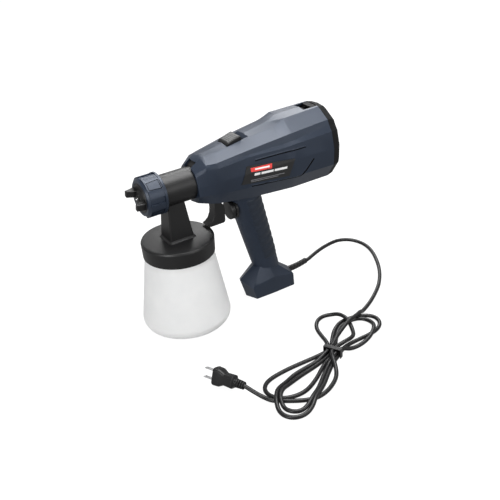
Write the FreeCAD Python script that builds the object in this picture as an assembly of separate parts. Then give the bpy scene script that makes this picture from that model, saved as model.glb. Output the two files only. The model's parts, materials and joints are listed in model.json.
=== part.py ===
import FreeCAD, Part
import math
import os

# Hand-held electric paint spray gun with a turbine in its housing, a screw-on cup and a mains cord.
# Millimetres. +X points out of the nozzle, +Y is the gun's left, +Z is up.
# The origin is the centre of the cup's base, on the surface that the gun stands on.

V = FreeCAD.Vector
X_AXIS = V(1, 0, 0)
Y_AXIS = V(0, 1, 0)
Z_AXIS = V(0, 0, 1)

# Driving dimensions
barrel_z = 219.0            # height of the spray axis
barrel_r = 23.7             # outside of the barrel
barrel_bore_r = 18.0        # air passage through the barrel
barrel_front_x = 18.0       # shoulder behind the nozzle nut
barrel_rear_x = -52.0       # end of the barrel inside the housing
running_gap = 0.08          # radial clearance of turning and sliding fits
wall = 3.0                  # moulded shell thickness

boss_r = 22.0               # nut thread boss in front of the barrel
boss_front_x = 34.0
nut_rear_x = 18.4
nut_front_x = 48.0
nut_r = 28.3
nut_flange_r = 30.4
nut_flange_width = 4.0
nut_lip_r = 21.6            # opening in the nut's face
cap_r = 21.2                # air cap body
cap_front_x = 48.6
horn_reach = 13.6           # how far the air cap's horns stand out
horn_angle = -16.0          # horns' tilt from the horizontal

lid_top_z = 142.0
lid_r = 54.0
lid_bottom_z = 117.0
cup_max_r = 65.4
cup_max_z = 24.5
cup_corner_r = 16.0
cup_shoulder_r = 51.3       # cup just below the lid
cup_neck_r = 47.6
cup_neck_top_z = 136.0
cup_wall = 2.2

key_top = 31.5              # key above the barrel's axis
key_half_width = 9.0
housing_rear_x = -247.0
cover_rear_x = -263.0
drum_axis_z = 222.0         # motor and fan axis

trigger_pivot = V(-65.0, 0, 248.0)
pin_r = 2.5
pin_reach = 20.0            # half the trigger pin's length
trigger_half_width = 9.0
knob_r = 15.6               # flow knob on the front of the handle
knob_z = 156.5
knob_post_r = 4.0
knob_front_x = -86.9
knob_rear_x = -98.2
knob_seat_x = -98.5
knob_seat_depth = 3.2

rake = 0.222                # backward lean of the handle, mm per mm of height

cord_r = 3.0
boot_r = 5.1
boot_z = 18.0
cord_z = 3.2                # cord's centre where it lies on the ground
hank_height = 14.0


def box(x0, x1, y0, y1, z0, z1):
    return Part.makeBox(x1 - x0, y1 - y0, z1 - z0, V(x0, y0, z0))


def rod_x(radius, x0, x1, z=barrel_z, y=0.0):
    return Part.makeCylinder(radius, x1 - x0, V(x0, y, z), X_AXIS)


def rod_y(radius, y0, y1, x, z):
    return Part.makeCylinder(radius, y1 - y0, V(x, y0, z), Y_AXIS)


def rod_z(radius, z0, z1, x=0.0, y=0.0):
    return Part.makeCylinder(radius, z1 - z0, V(x, y, z0), Z_AXIS)


def fused(*shapes):
    result = shapes[0]
    for shape in shapes[1:]:
        result = result.fuse(shape)
    return result.removeSplitter()


def group(*shapes):
    return Part.makeCompound(list(shapes))


def turned_x(profile, z=barrel_z):
    """Solid of revolution about a line along X; profile is (x, radius) pairs."""
    points = [V(x, 0, z + r) for x, r in profile]
    wire = Part.makePolygon(points + [points[0]])
    return Part.Face(wire).revolve(V(0, 0, z), X_AXIS, 360)


def turned_z(profile):
    """Solid of revolution about Z; profile is (radius, z) pairs."""
    points = [V(r, 0, z) for r, z in profile]
    wire = Part.makePolygon(points + [points[0]])
    return Part.Face(wire).revolve(V(0, 0, 0), Z_AXIS, 360)


def mirrored_section(x, half):
    """Closed wire at x from (y, z) points that run from top centre to bottom centre."""
    left = [V(x, y, z) for y, z in half]
    right = [V(x, -y, z) for y, z in reversed(half[1:-1])]
    return Part.makePolygon(left + right + [left[0]])


def loft(wires, ruled=True):
    return Part.makeLoft(wires, True, ruled)


def prism(points, height):
    """Extrude a flat polygon of vectors along Z, X or Y, whichever its height vector says."""
    return Part.Face(Part.makePolygon(points + [points[0]])).extrude(height)


def rounded(shape, radius, choose):
    edges = [edge for edge in shape.Edges if choose(edge)]
    return shape.makeFillet(radius, edges) if edges else shape


# ---------------------------------------------------------------- motor housing

# Half sections of the housing: top centre, top edge, upper crease, foot of the upper wall,
# ledge, widest point, lower side, lower shoulder, bottom centre.
housing_sections = [
    (-30.0, [(0, 246.5), (8, 245.5), (17, 241), (20, 238), (23, 234), (27, 218), (28, 206), (21, 194), (0, 190)]),
    (-46.0, [(0, 256.0), (11, 255), (25, 249), (28, 246), (30, 242), (33, 221), (33, 206), (26, 190), (0, 185)]),
    (-60.0, [(0, 258.5), (13, 257), (30, 249.5), (32, 246), (34, 242), (36, 221), (35, 204), (28, 187), (0, 182)]),
    (-110.0, [(0, 267), (16, 265), (36, 257), (37.5, 251), (40, 248), (44, 225), (42, 203), (31, 181), (0, 174)]),
    (-163.0, [(0, 275), (18, 273), (40, 263), (42.5, 253), (46.5, 248.5), (50.5, 227), (48, 202), (32, 177), (0, 170)]),
    (-182.0, [(0, 283), (19, 281), (41, 265), (44, 254.5), (48.5, 250), (52, 227), (50, 201), (33, 176), (0, 168.5)]),
    (-247.0, [(0, 284), (16, 282.5), (39, 268), (43, 260), (48.5, 252), (53.5, 226), (51, 200), (33, 176), (0, 168)]),
]


def section_centre_z(half):
    return (half[0][1] + half[-1][1]) / 2


def shrunk(half, by):
    """A half section moved inwards by about the given distance."""
    centre = section_centre_z(half)
    widest = max(y for y, z in half)
    tallest = half[0][1] - centre
    scale_y = (widest - by) / widest
    scale_z = (tallest - by) / tallest
    return [(y * scale_y, centre + (z - centre) * scale_z) for y, z in half]


def housing_solid(by=0.0, front=None, rear=None):
    sections = list(housing_sections)
    wires = [mirrored_section(x, shrunk(half, by)) for x, half in sections]
    solid = loft(wires)
    if front is not None:
        solid = solid.common(box(rear, front, -80, 80, 150, 300))
    return solid


def bulkhead(x0, x1):
    """A slab that fills the housing's inside between two stations."""
    return housing_inside.common(box(x0, x1, -80, 80, 150, 300))


def handle_section(z, half_depth, half_width):
    centre_x = -121.5 - rake * (150.0 - z)
    ellipse = Part.Ellipse(V(centre_x, 0, z), half_depth, half_width)
    return Part.Wire([ellipse.toShape()])


def handle_solid(by=0.0):
    stations = [(34.0, 21.0, 16.0), (85.0, 23.3, 16.8), (130.0, 24.8, 17.4), (160.0, 25.6, 18.0), (196.0, 27.0, 18.5)]
    return loft([handle_section(z, a - by, b - by) for z, a, b in stations], ruled=False)


def foot_ring(front, near_front, near_mid, near_rear, rear):
    left = [V(*p) for p in (front, near_front, near_mid, near_rear, rear)]
    right = [V(p[0], -p[1], p[2]) for p in (near_rear, near_mid, near_front)]
    return Part.makePolygon(left + right + [left[0]])


def foot_solid():
    bottom = foot_ring((-105, 0, 0), (-113, 20.5, 0), (-145, 21.5, 0), (-183, 20.5, 0), (-185, 0, 0))
    middle = foot_ring((-96, 0, 32), (-107, 21, 21), (-146, 22.5, 29), (-182, 21.5, 21), (-185, 0, 25))
    tilt = 0.175
    rim = [(-123, 0), (-128, 11), (-143, 16), (-158, 11), (-163, 0)]
    top = foot_ring(*[(x, y, 50 + tilt * (x + 122)) for x, y in rim])
    return loft([bottom, middle, top])


housing_outside = housing_solid()
housing_inside = housing_solid(wall).common(box(housing_rear_x, -56.0, -80, 80, 150, 300))
handle = handle_solid()
foot = foot_solid()


def nose_wedge():
    """Everything above and in front of the sloping joint between the nose ring and the shells."""
    return prism([V(-10, -60, 150), V(-10, -60, 300), V(-72.2, -60, 300), V(-28, -60, 210), V(-28, -60, 150)],
                 V(0, 120, 0))


def key_block():
    """Key on top of the barrel's rear that stops the barrel turning in the nose."""
    top = barrel_z + key_top
    side = [V(-32.5, 0, barrel_z + 20), V(-34, 0, barrel_z + 25), V(-43, 0, top), V(barrel_rear_x, 0, top),
            V(barrel_rear_x, 0, barrel_z + 20)]
    return prism([V(p.x, -key_half_width, p.z) for p in side], V(0, 2 * key_half_width, 0))


def key_notch():
    """Notch that takes the key, open to the front so that the barrel can be drawn out."""
    half = key_half_width + 0.4
    return box(barrel_rear_x - 3.5, -20, -half, half, barrel_z, barrel_z + key_top + 0.4)


def shell_cuts():
    """Openings that both shells and the nose ring share."""
    barrel_hole = rod_x(barrel_r + running_gap, -80, 0)
    trigger_slot = box(-84, -56, -trigger_half_width - 1.2, trigger_half_width + 1.2, 160, 200)
    button_slot = box(-124, -88.5, -13.9, 13.9, 254, 290)
    knob_recess = rod_x(knob_r + 0.6, knob_seat_x, -80, knob_z)
    pin_hole = rod_y(pin_r, -pin_reach, pin_reach, trigger_pivot.x, trigger_pivot.z)
    tab_notch = box(housing_rear_x - 1, housing_rear_x + 24, -13, 13, 277.0, 300)
    post_hole = rod_x(knob_post_r, knob_seat_x - knob_seat_depth, -80, knob_z)
    return [barrel_hole, trigger_slot, button_slot, knob_recess, post_hole, pin_hole, tab_notch, key_notch()]


def screw_positions():
    """Screw axes (x, z) along Y that hold the two shells together."""
    return [(-104.0, 240.0), (-104.0, 196.0), (-233.0, 263.0), (-233.0, 182.0), (-133.0, 100.0), (-150.0, 16.0)]


def body_shell():
    """Both halves as one hollow moulding, before it is parted along the middle."""
    outer = housing_outside.fuse(handle).fuse(foot)
    hollow_handle = handle_solid(wall).common(box(-200, -60, -60, 60, 12, 200))
    hollow_foot = box(-172, -116, -15, 15, 3, 20)
    shell = outer.cut(housing_inside).cut(hollow_handle).cut(hollow_foot)
    knob_seat = rod_x(knob_r + 3.5, knob_seat_x - knob_seat_depth, knob_seat_x + 2, knob_z)
    shell = shell.fuse(knob_seat.common(outer))
    for y0, y1 in ((-40, -10.5), (10.5, 40)):
        pin_boss = rod_y(pin_r + 2.5, y0, y1, trigger_pivot.x, trigger_pivot.z)
        shell = shell.fuse(pin_boss.common(outer))
    for cut in shell_cuts():
        shell = shell.cut(cut)
    shell = shell.cut(nose_wedge())
    shell = shell.cut(rod_x(boot_r + running_gap, -190, -171, z=boot_z))
    for x, z in screw_positions():
        boss = rod_y(5.0, -44, 44, x, z).common(outer)
        shell = shell.fuse(boss)
    for x, z in screw_positions():
        shell = shell.cut(rod_y(1.6, screw_seat_y(x, z) - 1, 12, x, z))
        shell = shell.cut(rod_y(4.3, -60, screw_seat_y(x, z), x, z))
    return shell


def screw_seat_y(x, z):
    """Depth of each screw head's seat: a little inside the right-hand surface."""
    seats = {(-104.0, 240.0): -36.0, (-104.0, 196.0): -34.0, (-233.0, 263.0): -36.0, (-233.0, 182.0): -33.0,
             (-133.0, 100.0): -13.0, (-150.0, 16.0): -18.0}
    return seats[(x, z)]


def half_of(shape, side):
    y0, y1 = (0, 90) if side == "left" else (-90, 0)
    return shape.common(box(-300, 60, y0, y1, -10, 320))


def nose_ring():
    ring = housing_outside.common(nose_wedge())
    ring = ring.cut(rod_x(barrel_r + running_gap, -80, 0))
    return ring.cut(key_notch()).removeSplitter()


def housing_screws():
    screws = []
    for x, z in screw_positions():
        seat = screw_seat_y(x, z)
        head = rod_y(3.6, seat - 2.4, seat, x, z)
        shank = rod_y(1.6, seat, 11.5, x, z)
        recess = box(x - 2.4, x + 2.4, seat - 3, seat - 1.2, z - 0.45, z + 0.45)
        cross = box(x - 0.45, x + 0.45, seat - 3, seat - 1.2, z - 2.4, z + 2.4)
        screws.append(head.fuse(shank).cut(recess).cut(cross).removeSplitter())
    return group(*screws)


def label_plate():
    """Thin plate in the left side panel, held 0.1 mm off the shell's own surface."""
    outline = [V(-92, 0, 210), V(-168, 0, 205), V(-178, 0, 230), V(-102, 0, 236)]
    column = prism(outline, V(0, 80, 0))
    skin = housing_solid(-0.7).cut(housing_solid(-0.1))
    return skin.common(column).removeSplitter()


# ---------------------------------------------------------------- inside the housing

def motor_can():
    can = turned_x([(-226, 8), (-226, 30), (-170, 30), (-170, 8), (-173, 8), (-173, 27), (-223, 27), (-223, 8)],
                   drum_axis_z)
    vents = [box(-240, -150, -4, 4, -40, 40), box(-240, -150, -40, 40, -4, 4)]
    for vent in vents:
        vent.translate(V(0, 0, drum_axis_z))
    slot_ring = rod_x(24, -228, -222, drum_axis_z).cut(rod_x(12.5, -230, -220, drum_axis_z))
    for vent in vents:
        can = can.cut(vent.common(slot_ring))
    return can.removeSplitter()


def motor_magnets():
    ring = rod_x(27, -218, -178, drum_axis_z).cut(rod_x(20, -220, -176, drum_axis_z))
    gap = box(-220, -176, -30, 30, -5, 5)
    gap.translate(V(0, 0, drum_axis_z))
    return group(*ring.cut(gap).Solids)


def motor_bearings():
    ring = rod_x(8, -173, -169.4, drum_axis_z).cut(rod_x(4 + running_gap, -180, -160, drum_axis_z))
    other = rod_x(8, -226.6, -223, drum_axis_z).cut(rod_x(4 + running_gap, -230, -220, drum_axis_z))
    return group(ring, other)


def motor_brushes():
    upper = box(-221, -219.2, -3, 3, 15, 26)
    upper.translate(V(0, 0, drum_axis_z))
    lower = box(-221, -219.2, -3, 3, -26, -15)
    lower.translate(V(0, 0, drum_axis_z))
    return group(upper, lower)


def rotor():
    shaft = rod_x(4, -232, -141, drum_axis_z)
    core = rod_x(18.5, -214, -182, drum_axis_z)
    commutator = rod_x(13, -221.5, -216, drum_axis_z)
    slots = []
    for index in range(6):
        slot = box(-216, -180, -1.5, 1.5, 12, 20)
        slot.rotate(V(0, 0, 0), X_AXIS, 60 * index)
        slot.translate(V(0, 0, drum_axis_z))
        slots.append(slot)
    armature = shaft.fuse(core).fuse(commutator)
    for slot in slots:
        armature = armature.cut(slot)
    return armature.removeSplitter()


def fan_impeller():
    hub = rod_x(9, -162, -145, drum_axis_z)
    plate = rod_x(33, -162, -160, drum_axis_z)
    fan = hub.fuse(plate)
    for index in range(9):
        blade = box(-160.5, -148, 7.5, 32.5, -0.8, 0.8)
        blade.rotate(V(0, 0, 0), X_AXIS, 40 * index)
        blade.translate(V(0, 0, drum_axis_z))
        fan = fan.fuse(blade)
    return fan.cut(rod_x(4, -170, -140, drum_axis_z)).removeSplitter()


def fan_shroud():
    front_wall = bulkhead(-143, -140).cut(rod_x(16, -150, -135, drum_axis_z))
    rear_wall = bulkhead(-168, -165).cut(rod_x(15, -170, -160, drum_axis_z))
    drum = rod_x(38, -165, -143, drum_axis_z).cut(rod_x(35.5, -170, -140, drum_axis_z))
    return fused(front_wall, drum, rear_wall)


def motor_mount():
    plate = bulkhead(-206, -202).cut(rod_x(30, -210, -200, drum_axis_z))
    for y, z in ((34, 250), (-34, 250), (34, 192), (-34, 192)):
        plate = plate.cut(rod_x(5.5, -210, -200, z, y))
    return plate


def needle_guide():
    plate = bulkhead(-92.5, -89.5).common(box(-95, -85, -60, 60, 200, 238))
    windows = [box(-95, -87, y0, y1, barrel_z - 12, barrel_z + 12) for y0, y1 in ((-24, -10), (10, 24))]
    for window in windows:
        plate = plate.cut(window)
    return plate.cut(rod_x(3 + running_gap, -95, -85)).removeSplitter()


def needle_puller():
    """Sleeve that takes the needle's tail, with the flange that the trigger pushes back."""
    sleeve = turned_x([(-56, 0), (-56, 5), (-70.8, 5), (-70.8, 9), (-73.3, 9), (-73.3, 3), (-99, 3), (-99, 0)])
    return sleeve.cut(rod_x(2.5 + running_gap, -66, -50))


def return_spring():
    return rod_x(7, -89.5, -76.5).cut(rod_x(4.2, -92, -70))


def micro_switch():
    case = box(-98.4, -83, -4, 4, 186, 196)
    lever = prism([V(-84, -2.5, 196), V(-98, -2.5, 196), V(-98, -2.5, 197), V(-82, -2.5, 198.2), V(-82, -2.5, 197.2)],
                  V(0, 5, 0))
    return case.fuse(lever).removeSplitter()


def trigger_pin():
    return rod_y(pin_r, -pin_reach, pin_reach, trigger_pivot.x, trigger_pivot.z)


def trigger():
    """Finger lever below the nose, with two arms that straddle the puller and hang from the pin."""
    outline = [V(-61.5, 0, 187), V(-61.5, 0, 171), V(-60, 0, 160), V(-56.5, 0, 152.5), V(-51.5, 0, 148.2),
               V(-47.2, 0, 146.6), V(-48.5, 0, 144.4), V(-53, 0, 143.6), V(-74.5, 0, 143.8),
               V(-77.5, 0, 147), V(-78, 0, 166), V(-76.5, 0, 172), V(-72, 0, 178), V(-71, 0, 187)]
    half = trigger_half_width
    paddle = prism([V(p.x, -half, p.z) for p in outline], V(0, 2 * half, 0))
    paddle = rounded(paddle, 1.4, lambda e: abs(e.BoundBox.YLength) < 0.01 and e.BoundBox.ZMax < 176
                     and e.BoundBox.ZMin > 145)
    hollow = box(-90, -65, -half + 2.5, half - 2.5, 147, 190)
    paddle = paddle.cut(hollow)
    arms = []
    for side in (-1, 1):
        y0, y1 = (6.2, half) if side > 0 else (-half, -6.2)
        arms.append(prism([V(-61.5, y0, 180), V(-71, y0, 180), V(-70, y0, 210), V(-70, y0, 252), V(-60, y0, 252),
                           V(-60, y0, 210)], V(0, y1 - y0, 0)))
    lever = paddle.fuse(arms[0]).fuse(arms[1])
    lever = lever.cut(rod_y(pin_r + running_gap, -20, 20, trigger_pivot.x, trigger_pivot.z))
    return lever.removeSplitter()


def flow_knob():
    """Stepped knob on the handle's front that stops the trigger and so sets the flow."""
    front_r = knob_r - 0.7
    waist_r = knob_r - 2.2
    profile = [(knob_front_x, 0), (knob_front_x, front_r - 0.9), (knob_front_x - 0.9, front_r),
               (knob_front_x - 3.5, front_r), (knob_front_x - 3.5, waist_r), (knob_front_x - 7.5, waist_r),
               (knob_front_x - 7.5, knob_r), (knob_rear_x + 0.8, knob_r), (knob_rear_x, knob_r - 0.8), (knob_rear_x, 0)]
    knob = turned_x(profile, knob_z)
    for index in range(20):
        flute = rod_x(0.9, knob_rear_x - 1, knob_front_x - 7.5, knob_z + knob_r + 0.35)
        flute.rotate(V(0, 0, knob_z), X_AXIS, 18 * index)
        knob = knob.cut(flute)
    return knob.cut(rod_x(knob_post_r + running_gap, -110, knob_front_x - 2.5, knob_z)).removeSplitter()


def knob_post():
    """Threaded post on the handle that the flow knob turns on."""
    return rod_x(knob_post_r, knob_seat_x - knob_seat_depth, knob_front_x - 3.0, knob_z)


def lock_button():
    """Sliding release button in a recess on top of the housing."""
    top = [V(-89.5, 0, 263.5), V(-91.5, 0, 265.8), V(-111, 0, 271.4), V(-113, 0, 270.4)]
    base = [V(-113, 0, 259), V(-89.5, 0, 259)]
    half = 13.2
    button = prism([V(p.x, -half, p.z) for p in top + base], V(0, 2 * half, 0))
    button = rounded(button, 0.9, lambda e: e.BoundBox.ZMin > 263 and e.BoundBox.YLength < 0.01)
    return fused(button, box(-107, -97, -5, 5, 252.3, 259))


def button_spring():
    """Small return spring behind the release button's post."""
    return rod_x(2.0, -119.5, -112.5, 255.0).cut(rod_x(1.3, -121, -110, 255.0))


def button_frame():
    """Guide plate under the release button, with the end stops of its travel."""
    plate = box(-122, -90, -15, 15, 249.5, 252.2)
    stop = box(-122, -119.5, -6, 6, 252.2, 257)
    return plate.fuse(stop).removeSplitter()


def rear_cover():
    """Slotted black cap over the air intake, with a latch tab on top."""
    first = housing_sections[-1][1]
    rim = mirrored_section(housing_rear_x - 0.3, first)
    band = mirrored_section(-257.5, shrunk(first, 2.5))
    back = mirrored_section(cover_rear_x, shrunk(first, 8.5))
    outer = loft([rim, band, back])
    inner_rim = mirrored_section(housing_rear_x - 0.3, shrunk(first, wall))
    inner_back = mirrored_section(cover_rear_x + 2.6, shrunk(first, 9.5))
    cover = outer.cut(loft([inner_rim, inner_back]))
    for row in range(9):
        z = drum_axis_z + (row - 4) * 8.4
        reach = math.sqrt(max(40.0 ** 2 - (z - drum_axis_z) ** 2, 0.0))
        if reach > 8:
            for y0, y1 in ((-reach, -2.2), (2.2, reach)):
                cover = cover.cut(box(cover_rear_x - 5, cover_rear_x + 6, y0, y1, z - 2.0, z + 2.0))
    tab = box(housing_rear_x - 4, housing_rear_x + 10, -11, 11, 279.4, 282.6)
    return cover.fuse(tab).removeSplitter()


def intake_filter():
    return rod_x(42, -246.2, -240, drum_axis_z)


# ---------------------------------------------------------------- front unit

def neck_wire(z, x_front, x_rear, half):
    points = [V(x_front, -half, z), V(x_front, half, z), V(x_rear, half, z), V(x_rear, -half, z)]
    return Part.makePolygon(points + [points[0]])


def front_body():
    """Barrel, neck and cup lid in one moulding, with the paint passage up its middle."""
    barrel = rod_x(barrel_r, barrel_rear_x, barrel_front_x)
    boss = rod_x(boss_r, barrel_front_x, boss_front_x)
    neck = loft([neck_wire(lid_top_z - 4, 18.6, -20.6, 17.0), neck_wire(205, 13.2, -12.6, 12.6)])
    neck = rounded(neck, 2.2, lambda e: e.BoundBox.ZLength > 40)
    lid = turned_z([(0, lid_bottom_z + 20.6), (0, lid_top_z + 1.2), (34, lid_top_z + 0.8), (lid_r - 3.5, lid_top_z),
                    (lid_r - 1.1, lid_top_z - 0.9), (lid_r, lid_top_z - 3.2), (lid_r - 0.9, lid_bottom_z + 1.0),
                    (lid_r - 1.6, lid_bottom_z), (50.6, lid_bottom_z), (50.6, lid_bottom_z + 20.6)])
    outside = fused(barrel, boss, lid, neck, key_block())
    air_bore = rod_x(barrel_bore_r, -60, boss_front_x - 6)
    nozzle_bore = rod_x(12.0 + running_gap, boss_front_x - 7, boss_front_x + 5)
    outside = outside.cut(air_bore).cut(nozzle_bore)
    core = rod_x(7.5, -24, boss_front_x - 6).fuse(rod_z(6.5, lid_bottom_z + 12, barrel_z))
    upright_web = box(-20, 26, -1.2, 1.2, barrel_z - 20, barrel_z + 20)
    level_web = box(-20, 26, -20, 20, barrel_z - 1.2, barrel_z + 1.2)
    webs = fused(upright_web, level_web)
    webs = webs.common(rod_x(barrel_bore_r + 1, -20, 26))
    outside = outside.fuse(core).fuse(webs)
    paint_bore = rod_x(3.5, -30, boss_front_x).fuse(rod_z(3.2, lid_bottom_z, barrel_z))
    gland_seat = rod_x(5.5, -26, -14)
    tube_socket = rod_z(4.5, lid_bottom_z, lid_bottom_z + 22)
    air_tap = rod_z(1.6, lid_bottom_z, barrel_z - barrel_bore_r + 2, x=11.2, y=0).common(box(0, 30, -10, 10, 100, 205))
    return outside.cut(paint_bore).cut(gland_seat).cut(tube_socket).cut(air_tap).removeSplitter()


def spigot_seal():
    """Soft ring behind the barrel, between it and the housing's air chamber."""
    ring = rod_x(22.5, barrel_rear_x - 2.5, barrel_rear_x).cut(rod_x(barrel_bore_r + 0.5, -60, -45))
    return ring


def needle_gland():
    gland = turned_x([(-29, 0), (-29, 7.0), (-24, 7.0), (-24, 5.5), (-15, 5.5), (-15, 0)])
    return gland.cut(rod_x(1.6 + running_gap, -40, 0))


def needle():
    profile = [(55.0, 0), (54.6, 0.5), (49, 1.6), (-38, 1.6), (-38, 2.5), (-65.5, 2.5), (-65.5, 0)]
    return turned_x(profile)


def fluid_nozzle():
    outer = [(28.0, 7.0), (28.0, 11.9), (33.5, 11.9), (33.5, 10.0), (39.0, 10.0), (40.0, 7.5), (46.0, 4.4), (51.8, 3.0),
             (51.8, 1.75), (46.0, 2.4), (34.0, 3.4), (28.0, 3.4)]
    return turned_x(outer)


def air_cap():
    """Black cap in the nut, with two horns that shape the spray."""
    outer = turned_x([(37.5, 13.5), (37.5, 24.0), (43.6, 24.0), (43.6, cap_r), (47.6, cap_r), (cap_front_x, cap_r - 1.0),
                      (cap_front_x, 12.0), (50.6, 8.5), (50.6, 4.3), (48.6, 4.3), (44.5, 6.2), (40.8, 9.5), (40.8, 13.5)])
    for index in range(8):
        hole = rod_x(0.9, 44, 52, barrel_z + 7.4)
        hole.rotate(V(0, 0, barrel_z), X_AXIS, 45 * index)
        outer = outer.cut(hole)
    horns = []
    for turn in (0, 180):
        side = [V(cap_front_x - 3, 9.6, 0), V(cap_front_x - 3, 19.8, 0), V(cap_front_x + 6, 20.6, 0),
                V(cap_front_x + horn_reach, 19.2, 0), V(cap_front_x + horn_reach, 14.6, 0), V(cap_front_x + 4, 10.6, 0)]
        horn = prism([V(p.x, p.y, -5.6) for p in side], V(0, 0, 11.2))
        horn = rounded(horn, 2.0, lambda e: e.BoundBox.ZLength < 0.01 and e.BoundBox.XMin > cap_front_x - 2.9)
        horn.rotate(V(0, 0, 0), X_AXIS, horn_angle + turn)
        horn.translate(V(0, 0, barrel_z))
        horns.append(horn)
    return fused(outer, horns[0], horns[1])


def ring_nut():
    """Faceted nut that holds the air cap, with four raised grips and a rear flange."""
    body = turned_x([(nut_rear_x, 0), (nut_rear_x, nut_flange_r - 0.8), (nut_rear_x + 0.8, nut_flange_r),
                     (nut_rear_x + nut_flange_width, nut_flange_r), (nut_rear_x + nut_flange_width, nut_r),
                     (nut_front_x - 3.2, nut_r), (nut_front_x, nut_r - 2.6), (nut_front_x, 0)])
    grips = rod_x(nut_flange_r - 0.6, nut_rear_x + nut_flange_width - 0.5, nut_front_x - 3.0)
    grips = grips.cut(rod_x(nut_r - 1, 0, 60))
    for index in range(4):
        groove = box(10, 60, 20, 40, -4.2, 4.2)
        groove.rotate(V(0, 0, 0), X_AXIS, 90 * index + 4.0)
        groove.translate(V(0, 0, barrel_z))
        grips = grips.cut(groove)
    for index in range(4):
        facet = box(0, 60, -40, 40, 29.2, 40)
        facet.rotate(V(0, 0, 0), X_AXIS, 90 * index + 45 + 4.0)
        facet.translate(V(0, 0, barrel_z))
        grips = grips.cut(facet.common(rod_x(40, nut_rear_x + nut_flange_width, 60)))
    nut = body.fuse(grips)
    nut = nut.cut(rod_x(boss_r + running_gap, 0, boss_front_x + 2.0))
    nut = nut.cut(rod_x(24.0 + running_gap, boss_front_x + 1.0, 44.0))
    return nut.cut(rod_x(nut_lip_r, 40, 60)).removeSplitter()


def cup_half_section(inset, top_z, neck_r):
    """Half section of the cup in the XZ plane; an inset gives the inside surface."""
    lean = math.atan((cup_max_r - cup_shoulder_r) / (lid_bottom_z - 1.0 - cup_max_z))
    centre_x = cup_max_r - math.tan(lean) * (cup_corner_r - cup_max_z) - cup_corner_r / math.cos(lean)
    radius = cup_corner_r - inset
    middle = (lean - math.pi / 2) / 2
    base = V(centre_x, 0, inset)
    corner = V(centre_x + radius * math.cos(middle), 0, cup_corner_r + radius * math.sin(middle))
    side_low = V(centre_x + radius * math.cos(lean), 0, cup_corner_r + radius * math.sin(lean))
    side_top = V(cup_shoulder_r - inset / math.cos(lean), 0, lid_bottom_z - 1.0)
    neck_low = V(neck_r, 0, lid_bottom_z + 1.6)
    neck_top = V(neck_r, 0, top_z)
    edges = [Part.LineSegment(V(0, 0, inset), base).toShape(),
             Part.Arc(base, corner, side_low).toShape(),
             Part.LineSegment(side_low, side_top).toShape(),
             Part.LineSegment(side_top, neck_low).toShape(),
             Part.LineSegment(neck_low, neck_top).toShape(),
             Part.LineSegment(neck_top, V(0, 0, top_z)).toShape(),
             Part.LineSegment(V(0, 0, top_z), V(0, 0, inset)).toShape()]
    return Part.Face(Part.Wire(edges))


def cup():
    outside = cup_half_section(0.0, cup_neck_top_z, cup_neck_r).revolve(V(0, 0, 0), Z_AXIS, 360)
    inside = cup_half_section(cup_wall, cup_neck_top_z + 5, cup_neck_r - cup_wall)
    inside = inside.revolve(V(0, 0, 0), Z_AXIS, 360)
    lugs = []
    for index in range(3):
        ring = rod_z(cup_neck_r + 2.2, 124, 127).cut(rod_z(cup_neck_r - 0.5, 120, 130))
        wedge = box(0, 60, -20, 20, 120, 130)
        wedge.rotate(V(0, 0, 0), Z_AXIS, 120 * index)
        lugs.append(ring.common(wedge))
    return fused(outside, *lugs).cut(inside).removeSplitter()


def cup_gasket():
    return rod_z(50.2, cup_neck_top_z, cup_neck_top_z + 1.6).cut(rod_z(44.0, 130, 140))


def pickup_tube():
    """Paint tube from the lid down into the cup, bent towards the front at its foot."""
    path = [V(0, 0, lid_bottom_z + 20), V(0, 0, 60), V(9.0, 0, 24), V(26.0, 0, 12)]
    return tube_along(path, 4.4, []).cut(tube_along(path, 3.2, []))


def pressure_valve():
    """Small non-return valve under the lid that lets air press on the paint."""
    return rod_z(4.0, lid_bottom_z + 12, lid_bottom_z + 20.6, x=11.2 + 2.6).cut(rod_z(1.6, 100, 200, x=11.2 + 2.6))


# ---------------------------------------------------------------- cord

# Route of the free stretch, from the strain relief on the foot to the hank.
free_route = [V(-229.1, 0, boot_z), V(-244, -5, 16.8), V(-266, -21, 14.4), V(-292, -35, 11.4), V(-316, -40, 8.6),
              V(-336, -32.5, 6.2), V(-346.5, -14, 4.4), V(-346, 9, 3.4), V(-335, 38, cord_z), V(-314, 75, cord_z),
              V(-287, 107, cord_z), V(-262, 127, cord_z), V(-238, 143, cord_z), V(-210, 157, cord_z)]
# Route of the short lead, from the hank to the plug.
lead_route = [V(8.4, 247.4, cord_z), V(14, 234, 4), V(20.5, 223, 8.6), V(25.2, 214, 12.5)]
# Outline of the tied hank: two lobes with the tie between them.
hank_outline = [V(-104, 199, 0), V(-121, 190, 0), V(-133, 160, 0), V(-150, 128, 0), V(-166, 122, 0), V(-180, 136, 0),
                V(-184, 150, 0), V(-206, 158, 0), V(-222, 172, 0), V(-224, 190, 0), V(-205, 210, 0), V(-182, 221, 0),
                V(-150, 228, 0), V(-127, 231, 0), V(-116, 240, 0), V(-96, 262, 0), V(-62, 284, 0), V(-28, 294, 0),
                V(-2, 298, 0), V(14, 289, 0), V(16, 266, 0), V(11.5, 250, 0), V(4, 247, 0), V(3, 222, 0),
                V(-6, 207, 0), V(-34, 200, 0), V(-75, 200, 0)]
tie_centre = V(-117, 213, 0)
tie_turn = 28.0             # the tie lies square across the strands
plug_rear = V(27.0, 210.6, 13.8)
plug_direction = V(0.40, -0.9165, 0)
plug_lean = 22.0


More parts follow.
